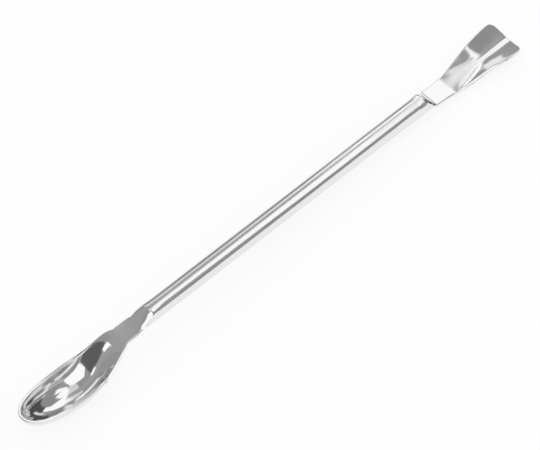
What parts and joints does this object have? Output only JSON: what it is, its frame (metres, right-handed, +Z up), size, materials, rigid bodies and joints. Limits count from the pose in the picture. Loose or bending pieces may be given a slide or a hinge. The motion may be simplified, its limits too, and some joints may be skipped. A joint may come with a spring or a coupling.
{
  "type": "lab spatula",
  "caption": "Double-ended stainless lab spatula: a deep oval spoon at one end, a flared shovel at the other and a channel-shaped handle between them.",
  "frame": {"origin": "under the middle of the length, on the table that the spatula rests on", "axes": "+X towards the shovel's end, -X towards the spoon's tip, +Z up out of the bowl, Y across"},
  "size_m": [0.1998, 0.0144, 0.0139],
  "materials": {
    "stainless_sheet": "mirror polished"
  },
  "bodies": {
    "root": {"spatula_sheet": "stainless_sheet"}
  },
  "joints": []
}
